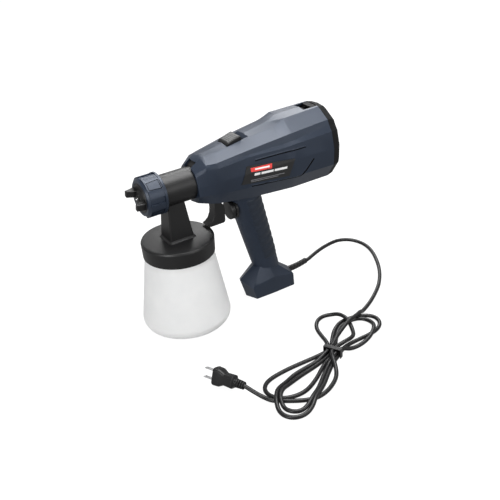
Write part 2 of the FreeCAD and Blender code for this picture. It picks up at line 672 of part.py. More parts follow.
def tube_along(points, radius, radii):
    """Round bar of straight runs joined by tangent arcs; each arc's radius is added to radii."""
    edges = []
    start = points[0]
    for before, corner, after in zip(points, points[1:], points[2:]):
        run_in = corner - before
        run_out = after - corner
        turn = run_in.getAngle(run_out)
        shorter = min(run_in.Length, run_out.Length)
        radius_here = 0.45 * shorter / math.tan(turn / 2)
        setback = 0.45 * shorter
        to_in = V(run_in).normalize()
        to_out = V(run_out).normalize()
        arc_start = corner - to_in * setback
        arc_end = corner + to_out * setback
        bisector = (to_out - to_in).normalize()
        centre = corner + bisector * (radius_here / math.cos(turn / 2))
        arc_middle = centre - bisector * radius_here
        edges.append(Part.LineSegment(start, arc_start).toShape())
        edges.append(Part.Arc(arc_start, arc_middle, arc_end).toShape())
        radii.append(radius_here)
        start = arc_end
    edges.append(Part.LineSegment(start, points[-1]).toShape())
    path = Part.Wire(edges)
    heading = (points[1] - points[0]).normalize()
    ring = Part.Wire([Part.Circle(points[0], heading, radius).toShape()])
    sweep = path.makePipeShell([ring], True, True)
    return sweep


def report_cord(name, points, solid, radii):
    runs = sum((b - a).Length for a, b in zip(points, points[1:]))
    length = solid.Volume / (math.pi * cord_r ** 2)
    print(name, "runs", round(runs, 1), "length", round(length, 1), "radii", [round(r, 1) for r in radii],
          "valid", solid.isValid())


def cord_free():
    radii = []
    solid = tube_along(free_route, cord_r, radii)
    report_cord("cord_free", free_route, solid, radii)
    return solid


def cord_lead():
    radii = []
    solid = tube_along(lead_route, cord_r, radii)
    report_cord("cord_lead", lead_route, solid, radii)
    return solid


def cord_hank():
    slab = prism(hank_outline, V(0, 0, hank_height))
    tie_room = Part.makeBox(14, 60, 60, V(-7, -30, -10))
    tie_room.rotate(V(0, 0, 0), Z_AXIS, tie_turn)
    tie_room.translate(tie_centre)
    return slab.cut(tie_room).fuse(tie_core()).removeSplitter()


def tie_core():
    """Narrow bundle of strands under the tie."""
    core = Part.makeBox(15.0, 24, hank_height - 1.5, V(-7.5, -12, 0))
    core.rotate(V(0, 0, 0), Z_AXIS, tie_turn)
    core.translate(tie_centre)
    return core


def cord_tie():
    """Band round the middle of the hank."""
    band = Part.makeBox(7, 27, hank_height + 0.5, V(-3.5, -13.5, 0))
    hole = Part.makeBox(9, 24, hank_height - 1.5, V(-4.5, -12, 0))
    band = band.cut(hole)
    band.rotate(V(0, 0, 0), Z_AXIS, tie_turn)
    band.translate(tie_centre)
    return band


def cord_boot():
    """Ribbed strain relief out of the foot's rear."""
    profile = [(-173.0, 0), (-173.0, boot_r), (-187.0, boot_r), (-228, 4.0), (-228, 0)]
    boot = turned_x(profile, boot_z)
    for index in range(5):
        x = -196.0 - 6.0 * index
        groove = rod_x(6, x - 1.5, x, boot_z).cut(rod_x(3.6, x - 2, x + 1, boot_z))
        boot = boot.cut(groove)
    return boot


def cord_clamp():
    """Block in the foot that grips the cord behind its strain relief."""
    block = box(-171.5, -163, -11, 11, 4, 19.5)
    return block.cut(rod_x(cord_r, -180, -150, z=12.0))


def plug_placed(shape):
    """Move a plug part built along +X from the origin to where the plug lies."""
    shape.rotate(V(0, 0, 0), X_AXIS, plug_lean)
    angle = math.degrees(math.atan2(plug_direction.y, plug_direction.x))
    shape.rotate(V(0, 0, 0), Z_AXIS, angle)
    shape.translate(plug_rear)
    return shape


def rounded_block(x, half_y, half_z, corner):
    """Rounded rectangle in a plane across X."""
    points = []
    for sign_y, sign_z, start in ((1, 1, 0), (-1, 1, 90), (-1, -1, 180), (1, -1, 270)):
        for step in range(4):
            angle = math.radians(start + 30 * step)
            points.append(V(x, sign_y * (half_y - corner) + corner * math.cos(angle),
                            sign_z * (half_z - corner) + corner * math.sin(angle)))
    return Part.makePolygon(points + [points[0]])


def plug_body():
    stations = [(0, 4.4, 4.4, 3.4), (14, 5.6, 5.8, 4.0), (16, 8.0, 9.0, 4.5), (30, 7.4, 8.6, 4.5), (37, 8.6, 12.4, 5.0),
                (46, 9.0, 12.8, 5.0), (48, 7.9, 11.8, 4.2)]
    grip = loft([rounded_block(x, y, z, c) for x, y, z, c in stations])
    for index in range(4):
        x = 2.2 + 3.1 * index
        ring = rod_x(12, x, x + 1.3, 0.0).cut(rod_x(3.7, x - 1, x + 3, 0.0))
        grip = grip.cut(ring)
    return plug_placed(grip)


def plug_blades():
    blades = []
    for z in (-6.35, 6.35):
        blade = Part.makeBox(16.5, 6.3, 1.5, V(48.0, -3.15, z - 0.75))
        blade = blade.cut(Part.makeCylinder(1.6, 4, V(60.5, 0, z - 2), Z_AXIS))
        blades.append(plug_placed(blade))
    return group(*blades)


# ---------------------------------------------------------------- output

def save(name, shape):
    solids = shape.Solids
    print(name, "solids", len(solids), "volume", round(shape.Volume, 1), "valid", shape.isValid())
    shape = solids[0] if len(solids) == 1 else Part.makeCompound(solids)
    shape.exportStep("parts/" + name + ".step")


def main():
    os.makedirs("parts", exist_ok=True)
    shell = body_shell()
    save("housing_left", half_of(shell, "left"))
    save("housing_right", half_of(shell, "right"))
    makers = [nose_ring, housing_screws, label_plate, motor_can, motor_magnets, motor_bearings, motor_brushes,
              rotor, fan_impeller, fan_shroud, motor_mount, needle_guide, needle_puller, return_spring, micro_switch,
              trigger_pin, trigger, flow_knob, knob_post, lock_button, button_spring, button_frame, rear_cover,
              intake_filter, front_body,
              spigot_seal, needle_gland, needle, fluid_nozzle, air_cap, ring_nut, cup, cup_gasket, pickup_tube,
              pressure_valve, cord_boot, cord_clamp, cord_free, cord_hank, cord_lead, cord_tie, plug_body, plug_blades]
    for make in makers:
        save(make.__name__, make())


main()
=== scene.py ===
import json
import math

import bmesh
import bpy
from mathutils import Matrix, Vector
from mathutils.bvhtree import BVHTree


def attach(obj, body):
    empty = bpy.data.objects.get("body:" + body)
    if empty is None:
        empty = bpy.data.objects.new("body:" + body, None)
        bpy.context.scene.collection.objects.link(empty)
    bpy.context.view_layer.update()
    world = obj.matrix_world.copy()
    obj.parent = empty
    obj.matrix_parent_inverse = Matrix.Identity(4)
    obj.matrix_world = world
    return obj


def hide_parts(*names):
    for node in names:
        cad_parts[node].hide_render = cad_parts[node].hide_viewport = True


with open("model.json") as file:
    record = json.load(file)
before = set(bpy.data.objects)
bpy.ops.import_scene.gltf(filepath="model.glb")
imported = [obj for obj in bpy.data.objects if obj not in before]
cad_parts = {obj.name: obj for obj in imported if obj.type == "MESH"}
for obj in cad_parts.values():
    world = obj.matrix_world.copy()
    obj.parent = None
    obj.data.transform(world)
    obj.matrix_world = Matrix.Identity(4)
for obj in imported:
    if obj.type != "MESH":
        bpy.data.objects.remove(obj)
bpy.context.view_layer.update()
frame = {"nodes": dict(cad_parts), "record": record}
nodes = frame["nodes"]

MM = 0.001
SIDES = 28          # facets round a small turned piece
UP = Vector((0, 0, 1))
LETTERS = "abcd"    # suffixes of the pieces that come in sets of four


def mm(x, y, z):
    """A place in metres from millimetres."""
    return Vector((x * MM, y * MM, z * MM))


# ---------------------------------------------------------------- camera

def make_camera():
    """Long lens from the front left, above the gun."""
    data = bpy.data.cameras.new("camera")
    data.lens = 62.26
    data.sensor_width = 36.0
    data.clip_start = 0.05
    data.clip_end = 30.0
    camera = bpy.data.objects.new("camera", data)
    bpy.context.collection.objects.link(camera)
    towards = Vector((0.430, 0.763, 0.482)).normalized()
    right = Vector((-0.847, 0.526, -0.078))
    right = (right - towards * right.dot(towards)).normalized()
    up = towards.cross(right)
    pose = Matrix((right, up, towards)).transposed().to_4x4()
    pose.translation = Vector((0.4570, 1.0219, 0.7227))
    camera.matrix_world = pose
    bpy.context.scene.camera = camera


make_camera()


# ---------------------------------------------------------------- the cord

CORD_R = 0.003
LOW = 3.2           # height of the centre line on the floor, mm
TOP = 9.4           # on top of another strand, mm

# Control points in millimetres: out of the boot, round behind the gun and up to the hank.
free_points = [
    (-222, -3.6, 18), (-229, -5.4, 18), (-240, -10.3, 17.8), (-254, -17.4, 16.8), (-273, -26.5, 14.6),
    (-295, -35, 11.6), (-316, -40, 8.8), (-336, -33, 6.2), (-346.5, -14, 4.4), (-346, 9, 3.4), (-335, 38, LOW),
    (-314, 75, LOW), (-287, 107, LOW), (-262, 127, LOW), (-238, 143, LOW), (-214, 155, LOW)]
# Loops of the hank; the two lobes lie on either side of the tie.
hank_points = [
    # over the upper lobe and through the tie
    (-209, 158.5, 8.4), (-198.5, 164.5, 10.6), (-188, 169.5, 12.6), (-178, 173.2, 14.2), (-168, 176.8, 13.2),
    (-157.5, 181, 10.8), (-146, 187, TOP), (-134, 195, TOP), (-123, 204, TOP), (-114, 207.8, TOP),
    # outer lower loop
    (-98, 213, 6.5), (-84, 215.5, LOW), (-66, 217, LOW), (-46, 220, LOW), (-28, 227, LOW), (-13, 234.5, 7),
    (-5, 241, TOP), (1.5, 249, TOP), (7, 257, 8), (11.5, 268, LOW), (12.5, 280, LOW), (8, 290, LOW),
    (-1, 296, LOW), (-14, 296.5, LOW), (-26, 292, 6), (-35, 285, TOP), (-43, 279, TOP), (-54, 271, 6),
    (-68, 260, LOW), (-83, 247, LOW), (-97, 236, LOW), (-108, 228, LOW), (-121.5, 220.8, LOW),
    # outer upper loop
    (-133, 213, LOW), (-146, 209, LOW), (-168, 208, LOW), (-188, 208, LOW), (-203, 204.5, LOW),
    (-214, 197.5, LOW), (-220, 187.5, LOW), (-220.5, 176.5, LOW), (-215, 167.5, LOW), (-205, 161.5, LOW),
    (-190, 156.5, LOW), (-170, 157, LOW), (-152, 168.5, LOW), (-138, 183, LOW), (-126, 197, LOW),
    (-115.5, 210.4, LOW),
    # middle lower loop
    (-104, 215.5, LOW), (-92, 219, LOW), (-78, 222.5, LOW), (-52, 227, LOW), (-27, 235, 5), (-14, 242, TOP),
    (-5, 249, TOP), (0.5, 258, 8), (3, 267, LOW), (2.5, 276, LOW), (-3, 284, LOW), (-12, 288, LOW),
    (-23, 286.5, 6), (-32, 281.5, TOP), (-41, 276, TOP), (-52, 267.5, 6), (-66, 255, LOW), (-80, 243, LOW),
    (-92, 233.5, LOW), (-104, 226, 6), (-119, 218.6, TOP),
    # inner upper loop
    (-131, 217.3, 8.6), (-143, 219.5, LOW), (-160, 220.5, LOW), (-177, 217.5, 6), (-190, 211, TOP),
    (-199, 202.5, TOP), (-206.5, 191, 5), (-208, 179.5, LOW), (-204, 169.5, LOW), (-195, 163.5, LOW),
    (-180, 162, LOW), (-164, 167, LOW), (-151, 177, LOW), (-140, 189, LOW), (-129, 202, LOW),
    (-118.5, 215.6, LOW),
    # inner lower loop
    (-99, 222.5, LOW), (-85, 231, LOW), (-69, 243, LOW), (-52, 253, LOW), (-38, 258.5, LOW), (-24, 259, LOW),
    (-10, 255, LOW), (0, 247, LOW), (5, 236, LOW), (4, 224, LOW), (-3, 214, LOW), (-15, 208, LOW),
    (-34, 205, LOW), (-55, 204, LOW), (-75, 204.5, LOW), (-97, 205, LOW), (-112.5, 204, LOW),
    # small upper loop
    (-122, 196, LOW), (-127.5, 182, LOW), (-130, 167, LOW), (-134, 151, LOW), (-141, 139, LOW),
    (-151, 130.5, LOW), (-163, 128, LOW), (-173, 133, 4), (-179, 143, 8), (-180.5, 155, TOP),
    (-179.5, 166, TOP), (-176.5, 177, 6), (-172, 188, LOW), (-165, 198, 6), (-155, 205.5, TOP),
    (-143, 208, 10.5), (-130, 209, TOP), (-119, 212, TOP),
    # last lower strand, under the loops and out
    (-110, 219, 12.5), (-105, 229, 12.5), (-101, 240, 7), (-95, 251, LOW), (-85, 262, LOW), (-71, 271, LOW),
    (-58, 276.5, LOW), (-46, 278.5, LOW), (-34, 276.5, LOW), (-22, 270.5, LOW), (-10, 262, LOW), (0, 254, LOW)]
# Short lead from the hank up into the plug.
lead_points = [(8.4, 247.4, LOW), (14, 234, 4), (20.5, 223, 8.6), (25.2, 214, 12.5), (27.2, 210.0, 13.8)]


def nurbs_cord(name, points, radius):
    """One open spline through the control points, in millimetres, with a round section in metres."""
    curve = bpy.data.curves.new(name, "CURVE")
    curve.dimensions = "3D"
    curve.bevel_depth = 1.0
    curve.bevel_resolution = 5
    curve.resolution_u = 8
    curve.use_fill_caps = True
    spline = curve.splines.new("NURBS")
    spline.points.add(len(points) - 1)
    for point, (x, y, z) in zip(spline.points, points):
        point.co = (x * MM, y * MM, z * MM, 1.0)
        point.radius = radius
    spline.order_u = 3
    spline.use_endpoint_u = True
    cord = bpy.data.objects.new(name, curve)
    bpy.context.collection.objects.link(cord)
    return cord


cord = nurbs_cord("mains_cord", free_points + hank_points + lead_points, CORD_R)
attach(cord, "gun")
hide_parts("cord_free", "cord_hank", "cord_lead")


# ---------------------------------------------------------------- materials

def new_material(name):
    material = bpy.data.materials.new(name)
    material.use_nodes = True
    tree = material.node_tree
    return material, tree, tree.nodes["Principled BSDF"]


def noise(tree, source, scale, detail):
    node = tree.nodes.new("ShaderNodeTexNoise")
    node.inputs["Scale"].default_value = scale
    node.inputs["Detail"].default_value = detail
    tree.links.new(source, node.inputs["Vector"])
    return node.outputs["Fac"]


def spread(tree, source, low, high):
    """A value between low and high that follows the source's 0 to 1."""
    node = tree.nodes.new("ShaderNodeMapRange")
    node.inputs["To Min"].default_value = low
    node.inputs["To Max"].default_value = high
    tree.links.new(source, node.inputs["Value"])
    return node.outputs["Result"]


def relief(tree, shader, source, strength, distance=0.0001):
    node = tree.nodes.new("ShaderNodeBump")
    node.inputs["Strength"].default_value = strength
    node.inputs["Distance"].default_value = distance
    tree.links.new(source, node.inputs["Height"])
    tree.links.new(node.outputs["Normal"], shader.inputs["Normal"])


def moulded(name, colour, roughness, grain=1800.0, bump=0.12, variation=0.25, gloss=0.5, sheen=(1, 1, 1)):
    """Injection-moulded plastic: fine spark-eroded grain, faint colour and gloss variation."""
    material, tree, shader = new_material(name)
    place = tree.nodes.new("ShaderNodeTexCoord").outputs["Object"]
    fine = noise(tree, place, grain, 3.0)
    broad = noise(tree, place, 22.0, 4.0)
    tint = tree.nodes.new("ShaderNodeVectorMath")
    tint.operation = "SCALE"
    tint.inputs[0].default_value = colour
    tree.links.new(spread(tree, broad, 1.0 - variation, 1.0 + variation), tint.inputs["Scale"])
    tree.links.new(tint.outputs["Vector"], shader.inputs["Base Color"])
    tree.links.new(spread(tree, fine, roughness - 0.06, roughness + 0.08), shader.inputs["Roughness"])
    relief(tree, shader, fine, bump)
    shader.inputs["Specular IOR Level"].default_value = gloss
    shader.inputs["Specular Tint"].default_value = (*sheen, 1.0)
    return material


def metal(name, colour, roughness, scratch=600.0):
    """Machined metal with fine marks along one direction."""
    material, tree, shader = new_material(name)
    stretch = tree.nodes.new("ShaderNodeMapping")
    stretch.inputs["Scale"].default_value = (1.0, 0.08, 1.0)
    tree.links.new(tree.nodes.new("ShaderNodeTexCoord").outputs["Object"], stretch.inputs["Vector"])
    marks = noise(tree, stretch.outputs["Vector"], scratch, 5.0)
    tree.links.new(spread(tree, marks, roughness - 0.08, roughness + 0.12), shader.inputs["Roughness"])
    relief(tree, shader, marks, 0.08)
    shader.inputs["Base Color"].default_value = (*colour, 1.0)
    shader.inputs["Metallic"].default_value = 1.0
    return material


def milky(name):
    """Translucent natural polyethylene."""
    material, tree, shader = new_material(name)
    cloud = noise(tree, tree.nodes.new("ShaderNodeTexCoord").outputs["Object"], 35.0, 4.0)
    ramp = tree.nodes.new("ShaderNodeValToRGB")
    ramp.color_ramp.elements[0].position = 0.3
    ramp.color_ramp.elements[0].color = (0.90, 0.91, 0.91, 1)
    ramp.color_ramp.elements[1].position = 0.7
    ramp.color_ramp.elements[1].color = (0.95, 0.955, 0.95, 1)
    tree.links.new(cloud, ramp.inputs["Fac"])
    tree.links.new(ramp.outputs["Color"], shader.inputs["Base Color"])
    relief(tree, shader, cloud, 0.06, distance=0.0004)
    shader.inputs["Roughness"].default_value = 0.38
    shader.inputs["Subsurface Weight"].default_value = 0.6
    shader.inputs["Subsurface Radius"].default_value = (0.02, 0.02, 0.02)
    shader.inputs["Subsurface Scale"].default_value = 1.0
    return material


COOL = (0.82, 0.88, 1.0)    # tint of the navy plastic's shine
NAVY = moulded("navy_shell", (0.0078, 0.0130, 0.0240), 0.40, gloss=0.44, sheen=COOL)
GRIP = moulded("navy_grip", (0.0070, 0.0110, 0.0190), 0.50, grain=1100.0, bump=0.25, gloss=0.42, sheen=COOL)
BLACK = moulded("black_plastic", (0.0045, 0.0045, 0.0048), 0.42, gloss=0.34)
RUBBER = moulded("cord_rubber", (0.0050, 0.0050, 0.0054), 0.36, grain=900.0, gloss=0.30)
PAD = moulded("pad_plastic", (0.070, 0.071, 0.072), 0.45)
# Near-black painted shade: thin strips laid where grooves and recesses fall into shadow.
PAINTED_SHADE = moulded("groove_shade", (0.0015, 0.0016, 0.0020), 0.85, gloss=0.05)
RED = moulded("label_red", (0.62, 0.035, 0.030), 0.35, variation=0.08)
WHITE = moulded("label_white", (0.72, 0.72, 0.72), 0.40, variation=0.05)
GREY = moulded("label_grey", (0.16, 0.16, 0.17), 0.40, variation=0.05)
SEAL = moulded("seal_rubber", (0.02, 0.02, 0.02), 0.7, grain=900.0)
FOAM = moulded("foam", (0.05, 0.05, 0.055), 0.95, grain=500.0, bump=1.0)
CARBON = moulded("carbon", (0.03, 0.03, 0.03), 0.6)
MAGNET = moulded("magnet", (0.10, 0.10, 0.11), 0.55, grain=700.0)
CLEAR = moulded("clear_plastic", (0.75, 0.78, 0.80), 0.25, variation=0.05)
COVER = moulded("cover_black", (0.0040, 0.0040, 0.0043), 0.62, gloss=0.16)
LABEL = moulded("label_print", (0.0040, 0.0040, 0.0045), 0.34, variation=0.05)
STEEL = metal("steel", (0.62, 0.62, 0.63), 0.30)
BRASS = metal("brass", (0.72, 0.52, 0.22), 0.32)
MILKY = milky("cup_plastic")

by_slot = {"navy_shell": NAVY, "black_plastic": BLACK, "cord_rubber": RUBBER, "seal_rubber": SEAL, "foam": FOAM,
           "carbon": CARBON, "magnet": MAGNET, "clear_plastic": CLEAR, "label_print": LABEL, "steel": STEEL,
           "brass": BRASS, "cup_plastic": MILKY}


slot_of = {part["node"]: part["material_slot"] for part in frame["record"]["subparts"]}


def dress(obj, material):
    obj.data.materials.clear()
    obj.data.materials.append(material)


for node, slot in slot_of.items():
    for held in nodes[node].material_slots:
        held.material = by_slot[slot]
dress(nodes["rear_cover"], COVER)
dress(cord, RUBBER)


# ---------------------------------------------------------------- pieces with softened edges

WELD = 0.00002                      # points nearer than this are one, in metres
FLAT = math.radians(0.8)            # facets that differ by less are one face
HARD_EDGE = math.radians(24.0)      # an edge sharper than this is rolled over


def softened(node, body, width):
    """The node's own shape with its hard edges rolled over by a width in mm, as a moulding's are."""
    mesh = nodes[node].data.copy()
    piece = bpy.data.objects.new(node + "_soft", mesh)
    bpy.context.collection.objects.link(piece)
    shape = bmesh.new()
    shape.from_mesh(mesh)
    bmesh.ops.remove_doubles(shape, verts=shape.verts, dist=WELD)
    bmesh.ops.dissolve_limit(shape, angle_limit=FLAT, verts=shape.verts, edges=shape.edges)
    for face in shape.faces:
        face.smooth = True
    shape.to_mesh(mesh)
    shape.free()
    bevel = piece.modifiers.new("edges", "BEVEL")
    bevel.width = width * MM
    bevel.segments = 2
    bevel.limit_method = "ANGLE"
    bevel.angle_limit = HARD_EDGE
    bevel.miter_outer = "MITER_ARC"
    normals = piece.modifiers.new("normals", "WEIGHTED_NORMAL")
    normals.keep_sharp = False
    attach(piece, body)
    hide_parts(node)
    dress(piece, by_slot[slot_of[node]])
    return piece


softened("housing_left", "gun", 0.9)
softened("housing_right", "gun", 0.9)
softened("nose_ring", "gun", 0.8)
softened("front_body", "front_unit", 0.8)
softened("ring_nut", "nozzle_nut", 0.7)
softened("air_cap", "spray_cap", 0.5)
softened("trigger", "trigger_lever", 0.7)
softened("lock_button", "release_button", 0.6)
softened("flow_knob", "flow_dial", 0.4)
plug = softened("plug_body", "gun", 0.6)
tie = softened("cord_tie", "gun", 0.5)


# ---------------------------------------------------------------- details laid on the shell

def surface_of(*names):
    """The nodes' faces as one tree that rays can be cast at."""
    verts = []
    faces = []
    for name in names:
        mesh = nodes[name].data
        base = len(verts)
        verts.extend(vertex.co.copy() for vertex in mesh.vertices)
        faces.extend([base + index for index in face.vertices] for face in mesh.polygons)
    return BVHTree.FromPolygons(verts, faces)


SHELL = surface_of("housing_left", "housing_right")
PANEL = surface_of("label_plate")
BESIDE = 90.0       # a ray starts here beside the gun, mm
ABOVE = 400.0       # or here above it


def on_side(tree, x, z, side):
    """Point and outward normal of the surface seen square on from the gun's left (1) or right (-1)."""
    return tree.ray_cast(mm(x, BESIDE * side, z), Vector((0, -side, 0)))[:2]


def mesh_piece(name, verts, faces, body, material, smooth=True):
    """A piece from points in metres and faces, with its normals turned outwards, riding on a body."""
    mesh = bpy.data.meshes.new(name)
    mesh.from_pydata(verts, [], faces)
    shape = bmesh.new()
    shape.from_mesh(mesh)
    bmesh.ops.recalc_face_normals(shape, faces=shape.faces)
    for face in shape.faces:
        face.smooth = smooth
    shape.to_mesh(mesh)
    shape.free()
    piece = bpy.data.objects.new(name, mesh)
    bpy.context.collection.objects.link(piece)
    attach(piece, body)
    dress(piece, material)
    return piece


def prism_faces(count, base=0):
    """Faces of a prism between two outlines of so many points each."""
    faces = [tuple(range(base, base + count)), tuple(range(base + 2 * count - 1, base + count - 1, -1))]
    return faces + [(base + index, base + (index + 1) % count, base + count + (index + 1) % count,
                     base + count + index) for index in range(count)]


def band_faces(rows, count, closed=False):
    """Faces between rings of so many points each; closed joins the last ring to the first."""
    faces = []
    for row in range(rows if closed else rows - 1):
        above = (row + 1) % rows * count
        for spot in range(count):
            following = (spot + 1) % count
            faces.append((row * count + spot, row * count + following, above + following, above + spot))
    return faces


def grid_faces(rows, columns):
    """Faces of a sheet of points, row after row."""
    corners = [row * (columns + 1) + column for row in range(rows) for column in range(columns)]
    return [(first, first + 1, first + columns + 2, first + columns + 1) for first in corners]


def divided(corners, step):
    """Points along a line of corners, no further apart than the step."""
    points = []
    for start, end in zip(corners, corners[1:]):
        count = max(1, math.ceil(math.dist(start, end) / step))
        points += [tuple(a + (b - a) * index / count for a, b in zip(start, end)) for index in range(count)]
    return points + [corners[-1]]


SINK = 0.4          # how far a bead's foot goes into the shell, mm


def bead(name, corners, half_width, height, material, side):
    """A low bead, or a flat dark strip of painted groove shade, sizes in mm, that follows the shell's side through
    the (x, z) corners.
    """
    spots = [on_side(SHELL, x, z, side) for x, z in divided(corners, 2.5)]
    shoulder = height * 0.75
    section = ((-1, -SINK), (-0.75, shoulder), (0, height), (0.75, shoulder), (1, -SINK))
    verts = []
    for index, (place, normal) in enumerate(spots):
        before = spots[max(index - 1, 0)][0]
        after = spots[min(index + 1, len(spots) - 1)][0]
        across = (after - before).normalized().cross(normal)
        for reach, lift in section:
            verts.append(place + across * reach * half_width * MM + normal * lift * MM)
    count = len(section)
    faces = band_faces(len(spots), count)
    faces.append(tuple(range(count)))
    faces.append(tuple(range(len(verts) - 1, len(verts) - count - 1, -1)))
    return mesh_piece(name, verts, faces, "gun", material)


def between(start, end, share):
    return [a + (b - a) * share for a, b in zip(start, end)]


def patch(name, corners, material, lift=0.08):
    """A thin printed patch on the label between four (x, z) corners, in order round it; it stands lift mm proud."""
    columns = 14
    rows = 4
    depth = 0.2
    low_start, low_end, high_end, high_start = corners
    upper = []
    lower = []
    for row in range(rows + 1):
        for column in range(columns + 1):
            low = between(low_start, low_end, column / columns)
            high = between(high_start, high_end, column / columns)
            place, normal = on_side(PANEL, *between(low, high, row / rows), 1)
            upper.append(place + normal * lift * MM)
            lower.append(place - normal * depth * MM)
    total = len(upper)
    faces = grid_faces(rows, columns)
    faces += [tuple(total + index for index in reversed(quad)) for quad in faces]
    rim = list(range(columns + 1))
    rim += [row * (columns + 1) + columns for row in range(1, rows + 1)]
    rim += [rows * (columns + 1) + column for column in range(columns - 1, -1, -1)]
    rim += [row * (columns + 1) for row in range(rows - 1, 0, -1)]
    for index, spot in enumerate(rim):
        following = rim[(index + 1) % len(rim)]
        faces.append((spot, following, total + following, total + spot))
    return mesh_piece(name, upper + lower, faces, "gun", material, smooth=False)


# The print is plain bars: its lettering is left out.
patch("label_red_bar", [(-107.5, 226.8), (-139.5, 224.6), (-141.0, 232.0), (-107.5, 232.6)], RED)
patch("label_red_bar_line", [(-114.0, 228.6), (-136.0, 227.4), (-136.6, 229.8), (-114.0, 230.6)], WHITE, 0.12)
patch("label_bar_a", [(-112.0, 220.2), (-121.0, 219.8), (-121.5, 223.2), (-112.5, 223.6)], WHITE)
patch("label_bar_b", [(-122.8, 219.7), (-142.0, 218.9), (-142.5, 222.3), (-123.3, 223.1)], WHITE)
patch("label_bar_c", [(-143.8, 218.8), (-164.0, 218.0), (-164.5, 221.4), (-144.3, 222.2)], WHITE)
patch("label_line_a", [(-106.5, 213.4), (-160.0, 211.2), (-160.0, 212.1), (-106.5, 214.3)], GREY)
patch("label_line_b", [(-106.5, 211.2), (-150.0, 209.4), (-150.0, 210.2), (-106.5, 212.0)], GREY)

side_panel = [(-116.5, 242.4), (-156.0, 243.4), (-199.0, 243.0)]
side_shade_line = [(x, z - 1.5) for x, z in side_panel]
diagonal = [(-209.0, 222.0), (-196.0, 207.5), (-186.0, 199.5), (-146.0, 202.5), (-106.0, 205.5)]
diagonal_shade_line = [(x - 1.9, z - 1.3) for x, z in diagonal]
# Navy beads for the panel lines, each with a strip of painted shade beside it where the groove's shadow falls.
for side, hand in ((1, "left"), (-1, "right")):
    bead("panel_line_" + hand, side_panel, 0.9, 0.35, NAVY, side)
    bead("panel_shade_" + hand, side_shade_line, 0.9, 0.12, PAINTED_SHADE, side)
    bead("diagonal_line_" + hand, diagonal, 0.9, 0.35, NAVY, side)
    bead("diagonal_shade_" + hand, diagonal_shade_line, 1.5, 0.15, PAINTED_SHADE, side)


# ---------------------------------------------------------------- grip on the handle

HANDLE_OVALS = ((34.0, 21.0, 16.0), (85.0, 23.3, 16.8), (130.0, 24.8, 17.4), (160.0, 25.6, 18.0),
                (196.0, 27.0, 18.5))    # height, half depth and half width in mm
HANDLE_X = -121.5       # the oval's centre at HANDLE_Z
HANDLE_Z = 150.0
HANDLE_RAKE = 0.222     # how far it goes back for each mm down


def handle_oval(z):
    """Half depth and half width of the handle's oval at a height."""
    for low, high in zip(HANDLE_OVALS, HANDLE_OVALS[1:]):
        if z <= high[0]:
            return between(low[1:], high[1:], (z - low[0]) / (high[0] - low[0]))
    return HANDLE_OVALS[-1][1:]


def grip_panel():
    """Rear half of the handle: shallow ribs that slope down to the back."""
    rows = 130
    columns = 48
    low = 60.0
    high = 172.0
    reach = math.radians(112)   # how far round the oval it goes on each side
    pitch = 12.5
    slope = 9.0
    verts = []
    for row in range(rows + 1):
        z = low + (high - low) * row / rows
        for column in range(columns + 1):
            across = 2.0 * column / columns - 1.0
            turn = across * reach
            rib = 0.5 + 0.5 * math.cos(2 * math.pi * (z + slope * abs(across)) / pitch)
            edge = min(1.0, (1 - abs(across)) * 9, (z - low) / 4, (high - z) / 4)
            lift = -0.7 + edge * (0.85 + 0.75 * rib ** 0.6)
            depth, width = handle_oval(z)
            centre = HANDLE_X - HANDLE_RAKE * (HANDLE_Z - z)
            verts.append(mm(centre - (depth + lift) * math.cos(turn), (width + lift) * math.sin(turn), z))
    piece = mesh_piece("grip_panel", verts, grid_faces(rows, columns), "gun", GRIP)
    thick = piece.modifiers.new("thickness", "SOLIDIFY")
    thick.thickness = 0.6 * MM
    thick.offset = -1.0
    return piece


grip_panel()


# ---------------------------------------------------------------- release button

BUTTON_X = -91.5        # front of the button's sloping top
BUTTON_Z = 265.8
BUTTON_SLOPE = 0.287    # how far it rises for each mm back


def button_pad():
    """Raised grey pad on the release button, with ridges for the thumb."""
    profile = [(-93.0, -0.4), (-93.6, 0.35)]
    for index in range(5):
        x = -95.6 - 3.0 * index
        profile += [(x + 0.5, 0.4), (x, 0.95), (x - 0.8, 0.95), (x - 1.3, 0.4)]
    profile += [(-110.6, 0.35), (-111.2, -0.4)]
    verts = []
    for side in (-1, 1):
        for x, lift in profile:
            half = 10.6 if lift > 0 else 11.2
            verts.append(mm(x, side * half, BUTTON_Z + (BUTTON_X - x) * BUTTON_SLOPE + lift))
    return mesh_piece("button_pad", verts, prism_faces(len(profile)), "release_button", PAD,
                      smooth=False)


button_pad()


def button_ramp():
    """Navy slope in the recess behind the button, with a low floor that the button slides over."""
    half = 13.8
    floor = 258.7
    foot = 257.4
    crest = SHELL.ray_cast(mm(-124.6, 0, ABOVE), -UP)[0].z / MM
    profile = [(-112.9, foot), (-112.9, floor), (-118.4, floor), (-118.6, crest - 5.4), (-119.2, crest - 4.9),
               (-123.95, crest - 0.7), (-123.95, foot)]
    verts = [mm(x, side * half, z) for side in (-1, 1) for x, z in profile]
    return mesh_piece("button_ramp", verts, prism_faces(len(profile)), "gun", NAVY, smooth=False)


button_ramp()


# ---------------------------------------------------------------- well under the rear latch tab

def latch_well():
    """Black tray that closes the notch in front of the rear cover's tab: a channel and its front wall."""
    brim = 281.0
    channel = [(-14.2, 275.2), (14.2, 275.2), (14.2, brim), (13.1, brim), (13.1, 276.4), (-13.1, 276.4),
               (-13.1, brim), (-14.2, brim)]
    wall = [(-13.6, 275.8), (13.6, 275.8), (13.6, brim), (-13.6, brim)]
    verts = []
    faces = []
    for profile, rear, front in ((channel, -244.0, -221.6), (wall, -222.8, -221.8)):
        faces += prism_faces(len(profile), len(verts))
        verts += [mm(x, y, z) for x in (rear, front) for y, z in profile]
    return mesh_piece("latch_well", verts, faces, "gun", COVER, smooth=False)


latch_well()


# ---------------------------------------------------------------- rubber pieces along the cord

